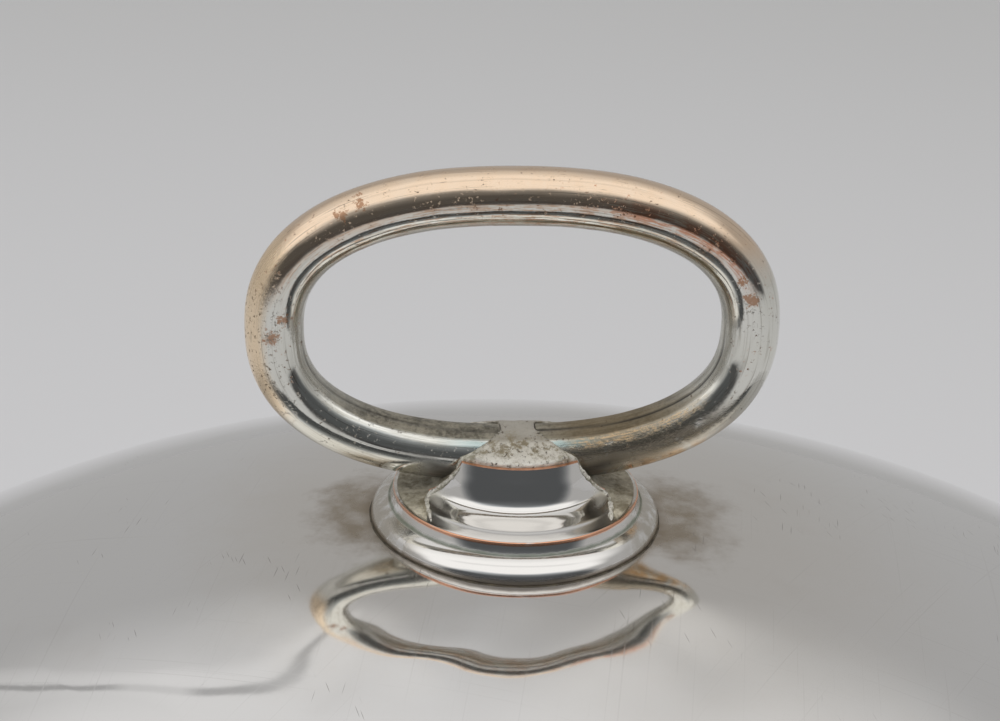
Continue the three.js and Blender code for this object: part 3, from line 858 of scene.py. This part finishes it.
def cheek_line(inwards):
    """The cheeks' hollow curve: a steep leaning wall, turned out into a broad ledge at the root."""
    curve = np.array(CHEEK_CURVE)
    return smoothed(curve[:, :2] - inwards * curve[:, 2:], 10).T


def cheek_cove(inwards, steps):
    """The hollow curve in even steps, from the root up to the top edge."""
    return evened(cheek_line(inwards).T, steps + 1)[0]


def cheek_height(x, y):
    """Height of the cheeks' outside at a place within their root, or of the ledge beyond it."""
    root = np.sqrt(np.maximum(CHEEK_ROOT_RADIUS**2 - x**2, 0))
    radii, heights = cheek_line(0)
    return np.interp(root - np.abs(y), CHEEK_ROOT_RADIUS - radii, heights)


def pinched(points):
    """Draws what lies inside the cheeks' root in towards the tube, as the saddle is."""
    x, y = points[:, 0].copy(), points[:, 1].copy()
    moved = CHEEK_ROOT_RADIUS - np.hypot(x, y)
    side = np.where(y < 0, -1.0, 1.0)
    share = np.arctan2(x, np.abs(y)) / (math.pi / 2)
    turn = share * np.arccos(np.clip(moved / CHEEK_ROOT_RADIUS, 0, 1))
    inside = moved > 0
    points[inside, 0] = CHEEK_ROOT_RADIUS * np.sin(turn[inside])
    points[inside, 1] = side[inside] * (CHEEK_ROOT_RADIUS * np.cos(turn[inside]) - moved[inside])
    return points


def saddle_outline():
    """The saddle from the front: half widths and heights down the flank to the ledge."""
    cheek = CHEEK_TOP_HEIGHT - CHEEK_ROOT_HEIGHT
    flank = [(0.55, 1.02), (0.595, 0.81), (0.691, 0.49), (0.77, 0.26), (0.83, 0.12), (0.89, 0.01)]
    points = [(out * CHEEK_ROOT_RADIUS, CHEEK_ROOT_HEIGHT + up * cheek) for out, up in flank]
    return smoothed(points, 5)


def cut_with(piece, tool, operation="INTERSECT"):
    """Cuts a piece with another closed shape, and throws the cutter away."""
    cut = piece.modifiers.new("cut", "BOOLEAN")
    cut.operation = operation
    cut.solver = "EXACT"
    cut.object = tool
    worked(piece)
    bpy.data.objects.remove(tool)


def press_bell():
    """The upper ring of the foot with the two hollow cheeks of the saddle."""
    sides = 288
    inside = LIP_RADIUS - BELL_SHEET
    profile = [
        (26.7, -GROOVE_DEPTH - 0.05),
        *smoothed([(26.74, -2.55), (26.55, -2.2), (26.28, -1.6), (26.04, -1.0), (25.92, -0.62)], 5),
        *arc(LIP_RADIUS - 0.36, -0.30, 0.36, -25, 105, 10),
        *smoothed([(25.3, 0.02), (24.4, 0.02), (22.9, 0.12), (CHEEK_ROOT_RADIUS + 0.4, 0.30)], 4),
        *cheek_cove(0, 56),
        *cheek_cove(BELL_SHEET, 24)[::-1],
        (inside - BELL_SHEET / 2, -BELL_SHEET),
        (inside, -GROOVE_DEPTH - 0.05),
    ]
    rings = pinched(turned(profile, sides)) + (0, 0, LIP_HEIGHT)
    piece = set_out("foot_bell_plate", rings, grid_faces(len(profile), sides, True), 30)
    outline = saddle_outline()
    above, floor, far = CHEEK_TOP_HEIGHT + 6, -20.0, LIP_RADIUS + 12
    half = [(0.34 * CHEEK_ROOT_RADIUS, above), *outline, (far, outline[-1][1]), (far, floor)]
    whole = [(-x, z) for x, z in reversed(half)] + half
    points = [(x, y, LIP_HEIGHT + z) for y in (-far, far) for x, z in whole]
    cut_with(piece, set_out("cutter", points, rod_faces(2, len(whole))))
    smooth_over(piece.data, 30)
    fit(piece, "silver_plate", ["foot_bell"], FOOT_PLATE, COPPER_EDGE)
    for face in piece.data.polygons:
        up = face.center.z / MM - LIP_HEIGHT
        top_edge = face.normal.z > 0.8 and up > CHEEK_TOP_HEIGHT - 0.35
        if top_edge or abs(face.normal.y) < 0.02 and up > 0.8:
            face.material_index = 1


def foot_base():
    """The lower ring of the foot, with a rolled shoulder, standing on the dome."""
    seam, foot = -CROWN_BELOW_LIP - 0.6, -CROWN_BELOW_LIP - 1.65
    out, up = SEAM_RADIUS - GROOVE_RADIUS, -GROOVE_DEPTH - seam
    last = math.radians(55)
    turns = np.linspace(0, last, 26)
    shoulder = [
        (GROOVE_RADIUS + out * (math.cos(t) - math.cos(last)) / (1 - math.cos(last)),
         seam + up * math.sin(t) / math.sin(last)) for t in turns
    ]
    neck = GROOVE_RADIUS - BELL_SHEET - BASE_SHEET
    profile = [
        (SEAM_RADIUS - 0.12, foot),
        (SEAM_RADIUS, seam - 0.7),
        *shoulder,
        (GROOVE_RADIUS + 0.1, -GROOVE_DEPTH - 0.04),
        (neck, -GROOVE_DEPTH - 0.06),
        (neck, -GROOVE_DEPTH - BASE_SHEET),
        *[(r - BASE_SHEET, z - BASE_SHEET) for r, z in reversed(shoulder[:-4])],
        (SEAM_RADIUS - BASE_SHEET, foot),
    ]
    x, y, z = turned(profile, 288).T
    up = np.where(z < seam - 0.5, ground(x, y) - 0.5 + z - foot, z + LIP_HEIGHT)
    rings = np.stack([x, y, up], axis=-1)
    piece = set_out("foot_base_plate", rings, grid_faces(len(profile), 288, True), 30)
    fit(piece, "silver_plate", ["foot_base"], FOOT_PLATE)


def seam_line():
    """Dirt and old polish in the seam between the foot and the dome."""
    sides, around = 240, 8
    rows = []
    for turn in turns_of(sides):
        x, y = math.cos(turn), math.sin(turn)
        reach = SEAM_RADIUS + 0.10 + 0.10 * noise.noise(Vector((4 * x, 4 * y, 7)))
        size = 0.26 + 0.10 * noise.noise(Vector((9 * x, 9 * y, 2)))
        level = ground(np.array([reach * x]), np.array([reach * y]))[0]
        for radius, height in arc(reach, level, size, 0, 360, around)[:-1]:
            rows.append((radius * x, radius * y, level + 0.7 * (height - level)))
    piece = set_out("seam_dirt_line", rows, grid_faces(sides, around, True), 60)
    fit(piece, "soft_solder", [], SEAM_DIRT)


def cast_solder(name, node, voxel, swell, lumps, seed, within_bell=False):
    """Solder from its plain solid: filled out to meet its neighbours, rounded and lumpy."""
    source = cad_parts[node]
    piece = bring_in(name, source.data.copy())
    remesh = piece.modifiers.new("round", "REMESH")
    remesh.mode = "VOXEL"
    remesh.voxel_size = voxel * MM
    mesh = worked(piece)
    body = bmesh.new()
    body.from_mesh(mesh)
    for _ in range(2):
        bmesh.ops.smooth_vert(
            body, verts=body.verts, factor=0.5, use_axis_x=True, use_axis_y=True, use_axis_z=True
        )
    body.normal_update()
    places = np.array([tuple(v.co) for v in body.verts]) / MM
    ways = np.array([tuple(v.normal) for v in body.verts])
    rise = swell + lumps * bumps(places, 3.1, seed) + 0.5 * lumps * bumps(places, 1.1, seed + 1)
    places += ways * rise[:, None]
    if within_bell:
        x, y, z = places.T
        upper = z > LIP_HEIGHT - GROOVE_DEPTH
        roof = LIP_HEIGHT + np.minimum(cheek_height(x, y) - 1.35, flank_height(x) - 1.2)
        shrink = np.minimum(1, (LIP_RADIUS - BELL_SHEET - 0.4) / np.maximum(np.hypot(x, y), 1))
        places[upper, 2] = np.minimum(z, roof)[upper]
        places[upper, :2] *= shrink[upper, None]
    for v, at in zip(body.verts, places * MM):
        v.co = at
    body.to_mesh(mesh)
    body.free()
    smooth_over(mesh)
    fit(piece, "soft_solder", [node], OLD_SOLDER)


def flank_height(reach):
    """Height of the saddle's flank at a distance from its middle, seen from the front."""
    outline = saddle_outline()
    return np.interp(np.abs(reach), outline[:, 0], outline[:, 1])


def fill_pocket(side):
    """Solder run into the open end of the saddle and over the ledge inside the lip."""
    across, along, edge = 62, 150, 25.15
    x, y = np.meshgrid(np.linspace(11.0, 25.2, across), np.linspace(-18.4, 18.4, along), indexing="ij")
    shrink = np.minimum(1, edge / np.hypot(x, y))
    x, y = x * shrink, y * shrink
    reach, flank, cheek = np.hypot(x, y), flank_height(x), cheek_height(x, y)
    flat = np.stack([side * x, y, np.zeros_like(x)], axis=-1).reshape(-1, 3)
    lumps = (bumps(flat, 2.6, 11) * 0.30 + bumps(flat, 0.9, 12) * 0.14).reshape(x.shape)
    heap = np.minimum(flank, cheek + 0.6) - 0.45
    thin = 0.22 + 0.12 * (edge - reach)
    height = np.maximum(heap, thin) + lumps * np.clip((edge - reach) / 1.5, 0.15, 1)
    height = np.where((cheek < flank - 0.05) & (x < 19.3), cheek - 1.0, height)
    top = np.stack([side * x, y, LIP_HEIGHT + height], axis=-1)
    under = top[:, ::-1].copy()
    under[..., 2] = LIP_HEIGHT - 1.0
    points = np.concatenate([top, under], axis=1).reshape(-1, 3)
    faces = grid_faces(across, 2 * along)
    for start in (0, (across - 1) * 2 * along):
        last = start + 2 * along - 1
        faces += [(start + j, start + j + 1, last - j - 1, last - j) for j in range(along - 1)]
    name = "pocket_solder_left" if side < 0 else "pocket_solder_right"
    piece = set_out(name, points, faces, 80)
    fit(piece, "soft_solder", [], POCKET_SOLDER)


def roll_along(name, line, radius, seed, lumps):
    """A lumpy roll of solder along a line of points in millimetres."""
    count, around = max(8, int(runs_of(line)[-1] / 0.18)), 12
    line, _ = evened(line, count)
    way = unit(np.gradient(line, axis=0))
    rows = []
    for i, (point, forward) in enumerate(zip(line, way)):
        first = np.cross(forward, (0.1, 0.2, 0.97))
        first /= np.linalg.norm(first)
        second = np.cross(forward, first)
        end = math.sqrt(max(0.02, 1 - (2 * i / (count - 1) - 1) ** 6))
        size = radius * end * (1 + lumps * noise.noise(Vector(point) / 1.4 + Vector((seed, 0, 0))))
        for t in turns_of(around):
            out = first * math.cos(t) + second * math.sin(t)
            spot = point + size * out
            push = 0.35 * lumps * radius * noise.noise(Vector(spot) / 0.5 + Vector((0, seed, 0)))
            rows.append(spot + push * out)
    return set_out(name, rows, rod_faces(count, around), 70)


def flank_beads():
    """Cream solder along the four cut edges of the cheeks, down over the ledge to the lip."""
    outline, (radii, heights) = saddle_outline(), cheek_line(0)
    up = np.linspace(CHEEK_TOP_HEIGHT - 0.5, 0.6, 24)
    x = np.interp(-up, -outline[:, 1], outline[:, 0])
    y = np.sqrt(CHEEK_ROOT_RADIUS**2 - x**2) - CHEEK_ROOT_RADIUS + np.interp(up, heights, radii)
    edge = np.stack([x + 0.05, y, up - 0.15], axis=-1)
    ledge = [(19.1, 11.5, 0.25), (18.7, 14.2, 0.12), (18.5, 16.4, 0.05)]
    line = np.vstack([edge, ledge]) + (0, 0, LIP_HEIGHT)
    for side, end in ((-1, "left"), (1, "right")):
        for face, way in ((-1, "front"), (1, "back")):
            name = f"flank_bead_{end}_{way}"
            bead = roll_along(name, line * (side, face, 1), 0.46, 3.1 * side + face, 0.75)
            fit(bead, "soft_solder", [], OLD_SOLDER)


def threaded(name, radius, low, high, nose):
    """A screw-cut rod about the upright axis, its ends dressed off."""
    sides = 48
    rows = int((high - low) / THREAD_PITCH * 10) + 1
    turn, z = np.meshgrid(turns_of(sides), np.linspace(low, high, rows))
    tooth = np.abs((z / THREAD_PITCH - turn / (2 * math.pi)) % 1.0 * 2 - 1)
    dressed = nose * np.maximum(0, 1 - np.minimum(z - low, high - z) / nose)
    reach = radius - np.maximum(THREAD_DEPTH * (1 - tooth), dressed)
    points = np.stack([reach * np.cos(turn), reach * np.sin(turn), z], axis=-1)
    return set_out(name, points.reshape(-1, 3), rod_faces(rows, sides), 50)


def fastening():
    """What holds the handle down, under the crown: stud, nut, washer and copper disc."""
    disc_under = LIP_HEIGHT - CROWN_BELOW_LIP - SHEET - JOINT_GAP - DISC_THICKNESS
    washer_under = disc_under - WASHER_THICKNESS
    nut_under = washer_under - NUT_HEIGHT
    stud = threaded("threaded_stud", STUD_RADIUS, nut_under - STUD_END, LIP_HEIGHT + STUD_TOP, 0.7)
    fit(stud, "old_brass", ["stud"], OLD_BRASS)

    profile = soft_edged(WASHER_HOLE, WASHER_RADIUS, washer_under, disc_under, 0.25)
    fit(spun("brass_washer", profile, 96, 40), "old_brass", ["washer"], OLD_BRASS)

    edge = DISC_RADIUS - 0.3
    reach = np.linspace(DISC_HOLE, edge, 20)
    top = [*zip(reach, dome_height(reach / MEAN_RADIUS) - SHEET - JOINT_GAP)]
    side = [(DISC_RADIUS, top[-1][1] - 0.35), (DISC_RADIUS, disc_under + 0.3)]
    profile = [*side, (edge, disc_under), (DISC_HOLE, disc_under), *top]
    fit(spun("copper_disc", profile, 120, 40), "bare_copper", ["backing_disc"], DISC_COPPER)

    nut = bmesh.new()
    size = Matrix.Diagonal((NUT_WIDTH * MM, NUT_WIDTH * MM, NUT_HEIGHT * MM, 1))
    at = Matrix.Translation((0, 0, (nut_under + NUT_HEIGHT / 2) * MM))
    bmesh.ops.create_cube(nut, size=1, matrix=at @ size)
    bmesh.ops.bevel(
        nut, geom=list(nut.edges), offset=0.45 * MM, segments=3, profile=0.7, affect="EDGES"
    )
    mesh = bpy.data.meshes.new("square_nut_worn")
    nut.to_mesh(mesh)
    nut.free()
    smooth_over(mesh, 40)
    piece = bring_in("square_nut_worn", mesh)
    bore = threaded("bore", STUD_RADIUS + 0.05, nut_under - 1, washer_under + 1, 0.2)
    cut_with(piece, bore, "DIFFERENCE")
    fit(piece, "old_brass", ["square_nut"], OLD_BRASS)


raise_dome()
border()
bend_ring()
press_bell()
foot_base()
seam_line()
cast_solder("saddle_solder_heap", "saddle_solder", 0.30, 0.22, 0.16, 3.7)
cast_solder("foot_loading_solder", "foot_loading", 0.45, 0.24, 0.22, 8.1, within_bell=True)
for side in (-1, 1):
    fill_pocket(side)
flank_beads()
fastening()

# What stays as the solids give it, out of sight, in its own old metal.
for node, material in (("joint_dowel", OLD_BRASS), ("rim_filling", OLD_SOLDER)):
    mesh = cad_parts[node].data
    mesh.materials.clear()
    mesh.materials.append(material)


def studio():
    """A plain grey surround, a bright ceiling, and a darker room in front."""
    world = bpy.data.worlds.new("studio")
    bpy.context.scene.world = world
    world.use_nodes = True
    b = Bench(world.node_tree)
    way = b.put("ShaderNodeTexCoord", out=0)
    x, y, z = b.split(way)
    side = abs(x)
    ahead = (0 - y) | 0.02
    front = b.step(0 - y, 0.05, 0.35)
    ceiling = b.step(z + side * 0.27 - x * 0.09 + front * 0.20, 0.67, 0.98)
    overhead = 0.37 + b.step(y, 0.40, 0.05) * 0.28
    bow = 1 - ((side - 0.36) / 0.15) ** 2
    rising = z + side * 0.634 - bow * 0.050
    wall = b.step(x, -0.05, -0.20) * b.step(y, 0.20, 0.40)
    band = b.step(rising, 0.845, 0.90) * wall * (0.33 - ((side - 0.33) | 0.0) * 0.85)
    light = 0.45 + ((ceiling * overhead) | band)
    corner = b.step(abs(rising - 0.915), 0.009, 0.003) * b.step(x, -0.12, -0.22)
    corner = corner * (0.35 + 0.65 * b.step(abs(side - 0.35), 0.03, 0.07))
    light = light * (1 - corner * wall * 0.42)
    gap = b.step(abs(y + 0.11), 0.075, 0.025) * b.step(z, 0.80, 0.92)
    light = light * (1 - gap * 0.15)
    room = b.step(side / ahead + z * 1.2, 2.05, 1.15) * b.step(0 - y, 0.05, 0.30)
    low_room = room * b.step(z, 0.50, 0.24)
    high_room = room * b.step(z, 0.76, 0.58)
    light = light * (1 - high_room * 0.58) * (1 - low_room * 0.50)
    seen = b.put("ShaderNodeLightPath", out=0)
    tone = b.blend(high_room, (1.0, 0.993, 0.987), (0.95, 1.0, 1.05))
    tone = b.blend(seen, tone, (0.445, 0.445, 0.448))
    strength = b.put("ShaderNodeMix", {"data_type": "FLOAT"}, {"Factor": seen, 2: light, 3: 1.0})
    surface = b.put("ShaderNodeBackground", None, {"Color": tone, "Strength": strength})
    b.put("ShaderNodeOutputWorld", None, {"Surface": surface})


def table():
    """A pale table top, painted darker towards the back and the right as painted shade; for mirror rays
    its front part is near-black, a painted reflection of a dark room.
    """
    half, level = 6.0, -0.0003
    corners = [(x * half, y * half, level) for x, y in ((-1, -1), (1, -1), (1, 1), (-1, 1))]
    mesh = bpy.data.meshes.new("table_top")
    mesh.from_pydata(corners, [], [(0, 1, 2, 3)])
    floor = bring_in("table_top", mesh)
    b, place = finish("pale_table")
    x, y, _ = b.split(place)
    # Painted reflection: as seen in the polish, the table's front part is near-black, standing in for a
    # dark room in front.
    mirrored = b.put("ShaderNodeLightPath", out=3)
    ahead = (0 - y) | 0.02
    room = b.step(y, -0.60, -1.05) * b.step(abs(x) / ahead, 2.10, 1.15)
    # Painted shade: the table is painted darker towards the back and towards the right side.
    far = b.step(y, 0.1, 1.5)
    tone = b.blend(far, (0.685, 0.685, 0.70), (0.58, 0.58, 0.58))
    tone = b.blend(b.step(x, 0.0, 0.7) * 0.30, tone, (0.53, 0.53, 0.525))
    colour = b.blend(room * mirrored * 0.9, tone, (0.02, 0.02, 0.022))
    weave = b.cloud(place, 300, 3)
    mesh.materials.append(b.shade(colour, 0.0, 0.85 + weave * 0.05, gloss=0.1))


def ceiling_strip():
    """A wide soft box over the cover, which its polish doesn't mirror."""
    at, aim = Vector((0.05, -0.30, 1.25)), Vector((0, 0, 0.15))
    data = bpy.data.lights.new("ceiling_strip", "AREA")
    data.shape, data.size, data.size_y = "RECTANGLE", 1.5, 0.36
    data.energy, data.color = 2.2, (1, 0.98, 0.95)
    box = bring_in("ceiling_strip", data)
    box.visible_glossy = False
    box.location = at
    box.rotation_mode = "QUATERNION"
    box.rotation_quaternion = (at - aim).to_track_quat("Z", "Y")


def camera():
    """The photograph's camera, from the outlines of the ring, the foot and the dome."""
    distance, above_lip, focal_pixels, image_width = 375.81, 20, 1800, 1000
    elevation, azimuth, dip, heading, roll = np.radians([23.864, 5.281, 22.662, 4.591, 1.803])

    def towards(turn, down):
        """The way that a turn from the far side and an angle below the level give."""
        level = math.cos(down)
        return Vector((math.sin(turn) * level, math.cos(turn) * level, -math.sin(down)))

    at = (Vector((0, 0, LIP_HEIGHT + above_lip)) - towards(azimuth, elevation) * distance) * MM
    ahead = towards(heading, dip)
    across = Vector((math.cos(heading), -math.sin(heading), 0))
    upward = across.cross(ahead)
    right = across * math.cos(roll) + upward * math.sin(roll)
    top = upward * math.cos(roll) - across * math.sin(roll)
    data = bpy.data.cameras.new("camera")
    data.sensor_width = 36
    data.lens = focal_pixels * data.sensor_width / image_width
    data.clip_start, data.clip_end = 0.01, 50
    eye = bring_in("camera", data)
    turn = Matrix((right, top, -ahead)).transposed()
    eye.matrix_world = Matrix.Translation(at) @ turn.to_4x4()
    bpy.context.scene.camera = eye


studio()
table()
ceiling_strip()
camera()
bpy.context.scene.view_settings.view_transform = "Standard"
